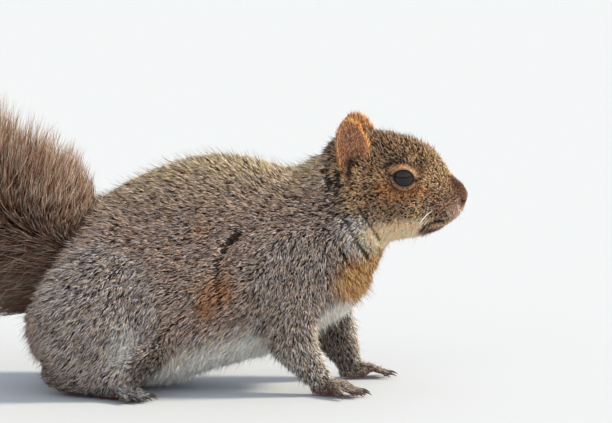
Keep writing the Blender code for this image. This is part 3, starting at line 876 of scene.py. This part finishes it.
def bare(skin):
    """How bare the skin is: 1 on the lids' margins, the nose, the mouth and the soles."""
    points = skin.points
    mouth = line_distance(points[:, [0, 2]], MOUTH)
    hollow, _ = ear_hollow(skin)
    covers = [1 - ramp(*LID_MARGIN, eye_reach(points, side)) for side in SIDES]
    covers += [
        1 - ramp(0.9, 1.1, reach_in(points, NOSE_TIP, (2.6, 4.4, 4.6))),
        blob(folded(points), (178.6, 3.8, 94), (2.7, 3, 2.2), 0.2),
        (points[:, 0] > MOUTH_DARK_FROM) * (1 - ramp(0.4, 0.8, mouth)),
        is_region(skin, "forefoot", "hindfoot") * ramp(0.3, 0.7, -skin.normals[:, 2]),
        hollow * 0.5,
    ]
    return np.max(covers, axis=0)


def parting(points, inner, outer):
    """1 on the lines where the coat parts on the right side, falling to 0 away from them, and the
    direction away from the nearest line."""
    near = np.zeros(len(points))
    away = np.zeros_like(points)
    right = points[:, 1] < -12
    profile = points[:, [0, 2]]
    step = 0.2
    for line, width in PARTINGS:
        here = line_distance(profile, line)
        weight = right * (1 - ramp(width * inner, width * outer, here))
        ahead = line_distance(profile + (step, 0), line) - here
        above = line_distance(profile + (0, step), line) - here
        slope = np.stack([ahead, np.zeros(len(points)), above], axis=1) / step
        away = np.where((weight > near)[:, None], slope, away)
        near = np.maximum(near, weight)
    return near, away


def clumps(points, width):
    """The number of the small clump that each point belongs to."""
    warped = points / width + 0.8 * np.sin(points[:, [1, 2, 0]] * 1.9 / width)
    _, clump = np.unique(np.floor(warped).astype(np.int64), axis=0, return_inverse=True)
    return clump.ravel()


def banded(kind):
    """How pale each hair is at its middle and at its tip, from 0 to 1: some are pale at the tip,
    some have a dark tip over a pale band, and some are all dark or all pale."""
    dark, pale = rng.uniform(-0.12, 0.04, len(kind)), rng.uniform(0.75, 1.3, len(kind))
    kinds = [kind < 0.32, kind < 0.66, kind < 0.86]
    middle = np.select(kinds, [dark, pale, dark], pale * 0.9)
    return middle, np.select(kinds, [pale, dark, dark], pale)


def coat_measures(skin):
    """At each point, the length, width and number of the tufts, how steeply they stand at the root
    and at the tip, and how much the point belongs to the crown."""
    depth, length, width, density, root_lift, tip_lift = (
        skin.smoothed(by_region(skin, REGIONS, k), REGION_ROUNDS) for k in range(6)
    )
    fullness = np.clip(skin.depth / np.maximum(depth, 0.2), 0, 1.1)
    _, rim = ear_hollow(skin)
    length = length * (0.3 + 0.7 * fullness) * (1 + 0.7 * rim)
    width = width * (0.6 + 0.4 * fullness)
    density = density * (1 - skin.bare)
    density[in_regions(skin.region, "tail")] = 0
    crown = is_region(skin, "head") * ramp(105, 116, skin.points[:, 2])
    chest = is_region(skin, "trunk", "neck") * ramp(0.2, 0.6, skin.normals[:, 0])
    jaw = is_region(skin, "head") * ramp(0.3, 0.8, -skin.normals[:, 2])
    root_lift = root_lift + 30 * rim + 12 * crown + 8 * (chest + jaw)
    tip_lift = tip_lift + 25 * rim + 16 * crown + 16 * (chest + jaw)
    return length, width, density, root_lift, tip_lift, crown


def coat_pieces(root, region):
    """The name, the slot and the tufts of each piece of the short coat."""
    sides = (("right", root[:, 1] < 0), ("left", root[:, 1] >= 0))
    halves = (("_fore", root[:, 0] >= BACK_SPLIT), ("_hind", root[:, 0] < BACK_SPLIT))
    whole = (("", np.ones(len(root), bool)),)
    for group, members, slot in GROUPS:
        mine = in_regions(region, *members)
        for side, here in sides:
            for part, there in halves if group == "back" else whole:
                yield f"coat_{group}{part}_{side}", slot, mine & here & there


def grow_coat(skin):
    """The short coat, in one piece for each group of regions and each side."""
    length, width, density, root_lift, tip_lift, crown = coat_measures(skin)
    face, weights = scattered(skin, density)

    def at(values):
        return at_places(skin, values, face, weights)

    root, normal = at(skin.points), unit(at(skin.normals))
    lie = unit(flattened(at(skin.lie), normal))
    count = len(face)
    region = skin.region[skin.faces[face, 0]]
    on_head = in_regions(region, "head", "nose", "ear")
    clump = clumps(root, np.where(on_head, CLUMPS["head"], CLUMPS["body"])[:, None])
    clump_count = clump.max() + 1
    clump_swing, clump_stand = rng.normal(size=(2, clump_count))
    clump_kind = rng.random(clump_count)
    swing = 9 * ripple(root, 11) + 15 * clump_swing[clump] + rng.normal(0, 6, count)
    lie = turned(lie, np.cross(normal, lie), np.radians(swing))
    side = np.cross(normal, lie)
    parted, _ = parting(root, PART_INNER, PART_OUTER)
    guard = rng.random(count) < 0.09 + 0.08 * at(crown)
    hair = at(length) * rng.uniform(0.72, 1.12, count) * (1 - 0.75 * parted)
    hair *= np.where(guard, rng.uniform(1.2, 1.8, count), 1)
    half = at(width) * rng.uniform(0.35, 0.65, count) * np.where(guard, 0.55, 1)
    stand = 1 + 0.12 * ripple(root, 7) + 0.18 * clump_stand[clump]
    stand += rng.normal(0, 0.08, count)
    start = turned(lie, normal, np.radians(at(root_lift) * stand))
    end = turned(lie, normal, np.radians(at(tip_lift) * stand + np.where(guard, 14, 0)))
    paths = np.empty((count, 3, 3))
    paths[:, 0] = root - normal * ROOT_DEPTH
    paths[:, 1] = root + start * (hair * WIDEST)[:, None]
    paths[:, 2] = paths[:, 1] + end * (hair * (1 - WIDEST))[:, None]
    paths[:, :, 2] = np.maximum(paths[:, :, 2], FLOOR_GAP)
    kind = np.where(rng.random(count) < CLUMP_SHARE, clump_kind[clump], rng.random(count))
    kind = np.where(on_head & (kind < 0.22), 0.5, kind)
    kind = np.where(guard, np.where(at(crown) > 0.6, 0.55 + 0.3 * kind, 0.33 + 0.45 * kind), kind)
    middle, tip = banded(kind)
    # painted shade: the hairs along the partings are darkened
    shade = (1 - 0.93 * parted)[:, None]
    hue = np.clip(rng.normal(0, 0.7, clump_count)[clump], -1.2, 1.2)
    hue = 1 + hue[:, None] * HUE
    dark = at(skin.dark) * hue
    pale = np.clip(at(skin.pale) * hue, 0, COLOUR_LIMITS[1])
    colours = np.empty((count, 3, 3))
    colours[:, 0] = dark * 0.8
    for step, paleness in ((1, middle), (2, tip)):
        colours[:, step] = np.clip(blend(dark, pale, paleness), *COLOUR_LIMITS) * shade
    for name, slot, chosen in coat_pieces(root, region):
        tuft_mesh(name, paths[chosen], side[chosen], half[chosen, None], colours[chosen])


# ---- tail

TAIL_TUFTS = 56000
TAIL_PIECES = 4
TAIL_LONGEST = 56
TAIL_REACH = 110  # the outline of the brush is looked for this far out from its core
TAIL_RISE = 0.9  # how much the hairs sweep upwards rather than along the tail
TAIL_ROOT = (70, 48, 36)
TAIL_MIDDLES = ((122, 82, 56), (76, 50, 37))
TAIL_TIPS = ((178, 168, 156), (122, 101, 84), (78, 66, 59))
TAIL_SPREAD_FROM = (-56, 0, 18)  # the hairs nearest the back spread away from here
TAIL_FAN = (1, 0.6, 1)  # the hairs fan out along the body's middle plane more than sideways
TAIL_BASE = (112, 86, 74)


def along_tail(points):
    """The nearest place on the tail's middle line to each point, the direction there and how far
    along it is, from 0 at its root to 1 at its tip."""
    lengths = np.append(0, np.cumsum(norms(np.diff(TAIL_LINE, axis=0))))
    fine = np.linspace(0, lengths[-1], 400)
    dense = np.stack([np.interp(fine, lengths, places) for places in TAIL_LINE.T], axis=1)
    for _ in range(20):
        dense[1:-1] = (dense[:-2] + dense[2:]) / 2
    tangents = unit(np.gradient(dense, axis=0))
    nearest = np.argmin(np.linalg.norm(points[:, None] - dense[None], axis=2), axis=1)
    return dense[nearest], tangents[nearest], fine[nearest] / lengths[-1]


def tail_ways(root, middle, tangent):
    """The direction outward from the core at each root, and the direction of its hair."""
    count = len(root)
    outward = unit(flattened(root - middle, tangent))
    outward = unit(outward * TAIL_FAN)
    outward = unit(outward + rng.normal(0, 0.22, (count, 3)))
    flow = unit(tangent + (0, 0, TAIL_RISE))
    spread = unit(root + outward * 20 - TAIL_SPREAD_FROM)
    upper = ramp(-0.3, 0.3, outward[:, 2])
    flow = unit(blend(flow, spread, ramp(-75, -35, root[:, 0]) * upper))
    flow = unit(flow - outward * np.minimum((flow * outward).sum(1, keepdims=True), 0))
    return outward, unit(turned(outward, flow, np.radians(rng.uniform(6, 48, count))))


def brush_reach(root, way):
    """How far it is from each root to the outline of the brush."""
    tree, _ = tree_of(TAIL_NODES)
    reach = np.zeros(len(root))
    for number, (start, direction) in enumerate(zip(root, way)):
        outside = Vector(start + direction * TAIL_REACH)
        found = tree.ray_cast(outside, Vector(-direction), TAIL_REACH)
        if found[0] is not None:
            reach[number] = TAIL_REACH - found[3]
    return reach


def tail_colours(clump, share):
    """The colours of each hair of the tail at its root, its middle and its tip."""
    count, locks = len(clump), clump.max() + 1
    tone = (rng.uniform(0.75, 1.25, locks)[clump] * rng.uniform(0.65, 1.35, count))[:, None]
    middle_kind = (0.6 * rng.random(locks)[clump] + 0.4 * rng.random(count) < 0.5).astype(int)
    tip_kind = rng.integers(0, 3, count)
    base = 1 - ramp(0.05, 0.25, share)
    colours = np.empty((count, 3, 3))
    colours[:, 0] = linear(TAIL_ROOT)
    colours[:, 1] = blend(linear(TAIL_MIDDLES)[middle_kind], linear(TAIL_BASE), base * 0.8) * tone
    colours[:, 2] = np.clip(linear(TAIL_TIPS)[tip_kind] * tone, 0, COLOUR_LIMITS[1])
    return colours


def grow_tail(skin):
    """The long hairs of the tail, from its core out to the outline of the brush."""
    on_tail = is_region(skin, "tail")
    area = (on_tail[skin.faces].min(axis=1) * skin.areas).sum()
    face, weights = scattered(skin, on_tail * TAIL_TUFTS / area)
    root = at_places(skin, skin.points, face, weights)
    middle, tangent, share = along_tail(root)
    outward, way = tail_ways(root, middle, tangent)
    reach = brush_reach(root, way)
    keep = reach > 6
    root, tangent, way, reach, outward, share = (
        v[keep] for v in (root, tangent, way, reach, outward, share)
    )
    count = len(root)
    clump = clumps(root + way * 20, 3)
    ragged = (0.8 + 0.3 * rng.random(clump.max() + 1) ** 1.3)[clump]
    ragged *= rng.uniform(0.84, 1.06, count)
    full = rng.random(count) < 0.7
    hair = np.minimum(reach, TAIL_LONGEST) * ragged
    hair *= np.where(full, 1, rng.uniform(0.45, 0.9, count))
    bow = unit(outward - tangent * 0.3)
    paths = np.empty((count, 3, 3))
    paths[:, 0] = root - way * 0.5
    paths[:, 1] = root + (way * rng.uniform(0.35, 0.6, (count, 1)) + bow * 0.08) * hair[:, None]
    paths[:, 2] = root + way * hair[:, None]
    side = unit(np.cross(way, rng.normal(size=(count, 3))))
    half = rng.uniform(0.13, 0.26, (count, 1))
    colours = tail_colours(clump, share)
    piece = np.minimum((share * TAIL_PIECES).astype(int), TAIL_PIECES - 1)
    for number in range(TAIL_PIECES):
        name, mine = f"coat_tail_{number + 1}", piece == number
        tuft_mesh(name, paths[mine], side[mine], half[mine], colours[mine])


# ---- materials

def new_material(name, settings):
    """A material whose shader has these settings, with its nodes, its links and its shader."""
    material = bpy.data.materials.new(name)
    material.use_nodes = True
    nodes, links = material.node_tree.nodes, material.node_tree.links
    shader = nodes["Principled BSDF"]
    for key, value in settings.items():
        shader.inputs[key].default_value = value
    return material, nodes, links, shader


def show_markings(nodes, links, shader):
    attribute = nodes.new("ShaderNodeAttribute")
    attribute.attribute_name = "Markings"
    links.new(attribute.outputs["Color"], shader.inputs["Base Color"])


def add_noise(nodes, scale):
    noise = nodes.new("ShaderNodeTexNoise")
    noise.inputs["Scale"].default_value = scale
    return noise.outputs["Fac"]


def coat_material():
    material, *tree = new_material("coat", {"Roughness": 0.62, "Specular IOR Level": 0.2})
    show_markings(*tree)
    return material


def skin_material():
    material, nodes, links, shader = new_material("skin", {"Roughness": 0.6})
    show_markings(nodes, links, shader)
    bump = nodes.new("ShaderNodeBump")
    bump.inputs["Strength"].default_value = 0.35
    bump.inputs["Distance"].default_value = 0.0002
    links.new(add_noise(nodes, 2200), bump.inputs["Height"])
    links.new(bump.outputs["Normal"], shader.inputs["Normal"])
    return material


def eye_material():
    settings = {"Base Color": (0.008, 0.005, 0.004, 1), "Roughness": 0.04, "IOR": 1.4}
    return new_material("eye", settings)[0]


def horn_material():
    material, nodes, links, shader = new_material("horn", {"Roughness": 0.32})
    shades = nodes.new("ShaderNodeValToRGB")
    shades.color_ramp.elements[0].color = (0.012, 0.009, 0.008, 1)
    shades.color_ramp.elements[1].color = (0.07, 0.05, 0.04, 1)
    links.new(add_noise(nodes, 900), shades.inputs["Fac"])
    links.new(shades.outputs["Color"], shader.inputs["Base Color"])
    return material


def floor_material():
    settings = {"Base Color": (0.4, 0.435, 0.48, 1), "Roughness": 0.85}
    return new_material("pale floor", settings)[0]


# ---- eyes, claws, whiskers

def make_eye(side):
    bm = bmesh.new()
    bmesh.ops.create_uvsphere(bm, u_segments=48, v_segments=32, radius=EYE_RADIUS * MM)
    mesh = bpy.data.meshes.new(f"eyeball_{side}")
    bm.to_mesh(mesh)
    bm.free()
    obj = add_object(f"eyeball_{side}", mesh)
    mesh.transform(Matrix.Translation(Vector(EYE_CENTRES[side]) * MM))
    for polygon in mesh.polygons:
        polygon.use_smooth = True
    mesh.materials.append(EYE)
    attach(obj, "root")
    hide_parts(f"eye_{side}")


CLAW_SIDES = 10
CLAW_RINGS = 12
CLAW_HALF_HEIGHT = 0.9
CLAW_HALF_WIDTH = 0.6
CLAW_ROOT = 1.8  # how far a claw's base goes back into its toe
UP = np.array((0, 0, 1))


def make_claw(name, material):
    """A smooth, pointed claw along the line of the solid one, flattened from side to side."""
    points, _ = node_triangles(name)
    base, ahead, run = claw_line(name)
    across = np.cross(ahead, UP)
    places = np.linspace(0, run.max(), CLAW_RINGS)
    near = bell(run[None] - places[:, None], 0.7)
    heights = (near * points[:, 2]).sum(axis=1) / near.sum(axis=1)
    angles = np.linspace(0, 2 * math.pi, CLAW_SIDES, endpoint=False)
    rings = []
    for place, height, share in zip(places, heights, np.linspace(0, 1, CLAW_RINGS)):
        centre = np.append((base + ahead * (place - CLAW_ROOT * (1 - share)))[:2], height)
        girth = (1 - share**1.6) ** 0.8 + 0.03
        wide = across * (np.cos(angles) * girth * CLAW_HALF_WIDTH)[:, None]
        tall = UP * (np.sin(angles) * girth * CLAW_HALF_HEIGHT)[:, None]
        rings.append(centre + wide + tall)
    faces = []
    for ring in range(CLAW_RINGS - 1):
        for k in range(CLAW_SIDES):
            a, b = ring * CLAW_SIDES + k, ring * CLAW_SIDES + (k + 1) % CLAW_SIDES
            faces += [(a, a + CLAW_SIDES, b + CLAW_SIDES), (a, b + CLAW_SIDES, b)]
    tip = (CLAW_RINGS - 1) * CLAW_SIDES
    for start, turn in ((0, 1), (tip, -1)):
        for k in range(1, CLAW_SIDES - 1):
            faces.append((start, start + k, start + k + 1)[::turn])
    obj = new_mesh(f"horn_{name}", np.concatenate(rings), np.array(faces))
    obj.data.materials.append(material)
    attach(obj, "root")
    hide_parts(name)


BLACK_HAIR, DARK_HAIR = (52, 40, 34), (66, 50, 42)
PALE_HAIR, WHITE_HAIR = (214, 206, 196), (252, 250, 244)

# Whiskers: x and z of the root, the way it points as (x, outward, z), length, radius, how far it
# bends down as a share of its length, and colour
WHISKERS = (
    (163.4, 91.4, (-0.78, 0.42, -0.3), 9.5, 0.3, 0.5, WHITE_HAIR),
    (175, 92.6, (0.1, 1, -0.35), 13, 0.09, 0.15, DARK_HAIR),
    (173, 91.6, (-0.15, 1, -0.45), 15, 0.1, 0.15, DARK_HAIR),
    (170.8, 90.8, (-0.4, 1, -0.5), 17, 0.1, 0.16, DARK_HAIR),
    (174.4, 94.6, (0, 1, -0.05), 17, 0.1, 0.14, BLACK_HAIR),
    (172.2, 93.8, (-0.3, 1, -0.12), 21, 0.11, 0.15, BLACK_HAIR),
    (169.6, 92.8, (-0.6, 1, -0.2), 24, 0.11, 0.16, BLACK_HAIR),
    (167, 91.8, (-0.9, 1, -0.3), 25, 0.1, 0.16, BLACK_HAIR),
    (173.2, 96.6, (-0.2, 1, 0.22), 18, 0.1, 0.14, BLACK_HAIR),
    (170.6, 96, (-0.5, 1, 0.14), 23, 0.11, 0.15, BLACK_HAIR),
    (167.8, 95, (-0.85, 1, 0.06), 26, 0.11, 0.16, BLACK_HAIR),
    (151, 114.2, (-0.3, 1, 0.9), 12, 0.08, 0.1, BLACK_HAIR),
    (147.4, 114.6, (-0.6, 1, 0.8), 14, 0.08, 0.1, BLACK_HAIR),
    (160, 80.6, (-0.1, 0.35, -1), 9, 0.08, 0.05, PALE_HAIR),
    (156, 79.4, (-0.3, 0.35, -1), 10, 0.08, 0.05, PALE_HAIR),
)
WHISKER_STEPS = 8


def grow_whiskers(skin):
    """The long stiff hairs of the muzzle, brow, cheek and chin, alike on both sides."""
    tree = BVHTree.FromPolygons(skin.points.tolist(), skin.faces.tolist())
    steps = np.linspace(0, 1, WHISKER_STEPS)
    paths, girth, colours = [], [], []
    for x, z, way, length, radius, bend, colour in WHISKERS:
        middle = math.tan(HEAD_HEADING) * (x - HEAD_TURN_X)
        for sign in (-1, 1):
            found = tree.ray_cast(Vector((x, middle + sign * 60, z)), Vector((0, -sign, 0)))
            root = np.array(found[0])
            forward = np.array((way[0], way[1] * sign, way[2])) / np.linalg.norm(way)
            path = root + forward * (length * steps)[:, None]
            path[:, 2] -= length * bend * steps**2
            path[0] -= forward * 0.5
            paths.append(path)
            girth.append(radius * (1 - 0.75 * steps[1:-1]))
            colours.append(np.tile(linear(colour), (WHISKER_STEPS, 1)))
    side = np.tile(UP, (len(paths), 1))
    tuft_mesh("whiskers", np.array(paths), side, np.array(girth), np.array(colours))


# ---- stage

# How bright the studio is from straight down, at 0, to straight up, at 1
SKY = (
    (0, 0.66), (0.05, 0.6), (0.14, 0.24), (0.3, 0.3),
    (0.42, 0.98), (0.62, 0.98), (0.8, 0.6), (1, 0.6),
)
SKY_STRENGTH = 1.4
# Name, where it is, strength, spread in degrees and colour of each light
SUNS = (
    ("warm sun ahead", (0.9, 0.02, 0.75), 5.8, 12, (1, 0.85, 0.65)),
    ("low fill", (1, -0.7, 0.12), 2.1, 50, (0.95, 0.97, 1)),
    ("soft fill", (-0.25, -1, 0.5), 0.8, 60, (1, 0.97, 0.95)),
)
FLOOR_HALF_WIDTH = 20


def make_stage():
    """The floor, the studio round it, and the lights."""
    mesh = bpy.data.meshes.new("floor")
    far = FLOOR_HALF_WIDTH
    corners = [(-far, -far, 0), (far, -far, 0), (far, far, 0), (-far, far, 0)]
    mesh.from_pydata(corners, [], [(0, 1, 2, 3)])
    mesh.materials.append(floor_material())
    floor = add_object("floor", mesh)
    scene = bpy.context.scene
    world = bpy.data.worlds.new("studio")
    scene.world = world
    world.use_nodes = True
    nodes, links = world.node_tree.nodes, world.node_tree.links
    place = nodes.new("ShaderNodeTexCoord")
    parts = nodes.new("ShaderNodeSeparateXYZ")
    sky = nodes.new("ShaderNodeValToRGB")
    for position, _ in SKY[1:-1]:
        sky.color_ramp.elements.new(position)
    for element, (position, brightness) in zip(sky.color_ramp.elements, SKY):
        element.position = position
        element.color = (0.93 * brightness, 0.96 * brightness, brightness, 1)
    links.new(place.outputs["Generated"], parts.inputs["Vector"])
    links.new(parts.outputs["Z"], sky.inputs["Fac"])
    links.new(sky.outputs["Color"], nodes["Background"].inputs["Color"])
    nodes["Background"].inputs["Strength"].default_value = SKY_STRENGTH
    scene.view_settings.view_transform = "Standard"
    for sun in SUNS:
        add_sun(*sun)


def add_sun(name, towards, strength, spread, colour):
    data = bpy.data.lights.new(name, "SUN")
    data.energy = strength
    data.angle = math.radians(spread)
    data.color = colour
    light = add_object(name, data)
    light.location = Vector(towards) * 2
    light.rotation_mode = "QUATERNION"
    light.rotation_quaternion = (-Vector(towards)).to_track_quat("-Z", "Y")
    light.visible_glossy = False


VIEW_AIM = Vector((0.10025, 0, 0.0888))
VIEW_ELEVATION = math.radians(6.4)
VIEW_WIDTH = 0.306
VIEW_LENS = 200
SENSOR_WIDTH = 36


def make_camera():
    data = bpy.data.cameras.new("camera")
    data.lens = VIEW_LENS
    data.sensor_width = SENSOR_WIDTH
    distance = VIEW_WIDTH * VIEW_LENS / SENSOR_WIDTH
    camera = add_object("camera", data)
    back = Vector((0, -math.cos(VIEW_ELEVATION), math.sin(VIEW_ELEVATION)))
    camera.location = VIEW_AIM + back * distance
    camera.rotation_mode = "QUATERNION"
    camera.rotation_quaternion = (-back).to_track_quat("-Z", "Y")
    data.clip_end = 100
    bpy.context.scene.camera = camera


# ---- the squirrel

FLESH = names_of(*(name for name in REGION_NAMES if name != "tail"))
TAIL_NODES = names_of("tail")
EYES = names_of("eye")
COAT = coat_material()
EYE = eye_material()

skin = make_skin()
skin.lie = lie_of(skin)
skin.bare = bare(skin)
skin.dark, skin.pale = marked(skin)
body = new_mesh("skin", skin.points, skin.faces)
# The skin is darkened along the partings: painted shade in the creases of the coat
parted, _ = parting(skin.points, PART_INNER, PART_OUTER)
paint(body, (skin.dark * 0.75 + skin.pale * 0.08) * (1 - 0.6 * parted)[:, None])
body.data.materials.append(skin_material())
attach(body, "root")
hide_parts(*FLESH, *TAIL_NODES)
grow_coat(skin)
grow_tail(skin)
grow_whiskers(skin)
for eye_side in SIDES:
    make_eye(eye_side)
horn = horn_material()
for claw in names_of("claw"):
    make_claw(claw, horn)
make_stage()
make_camera()
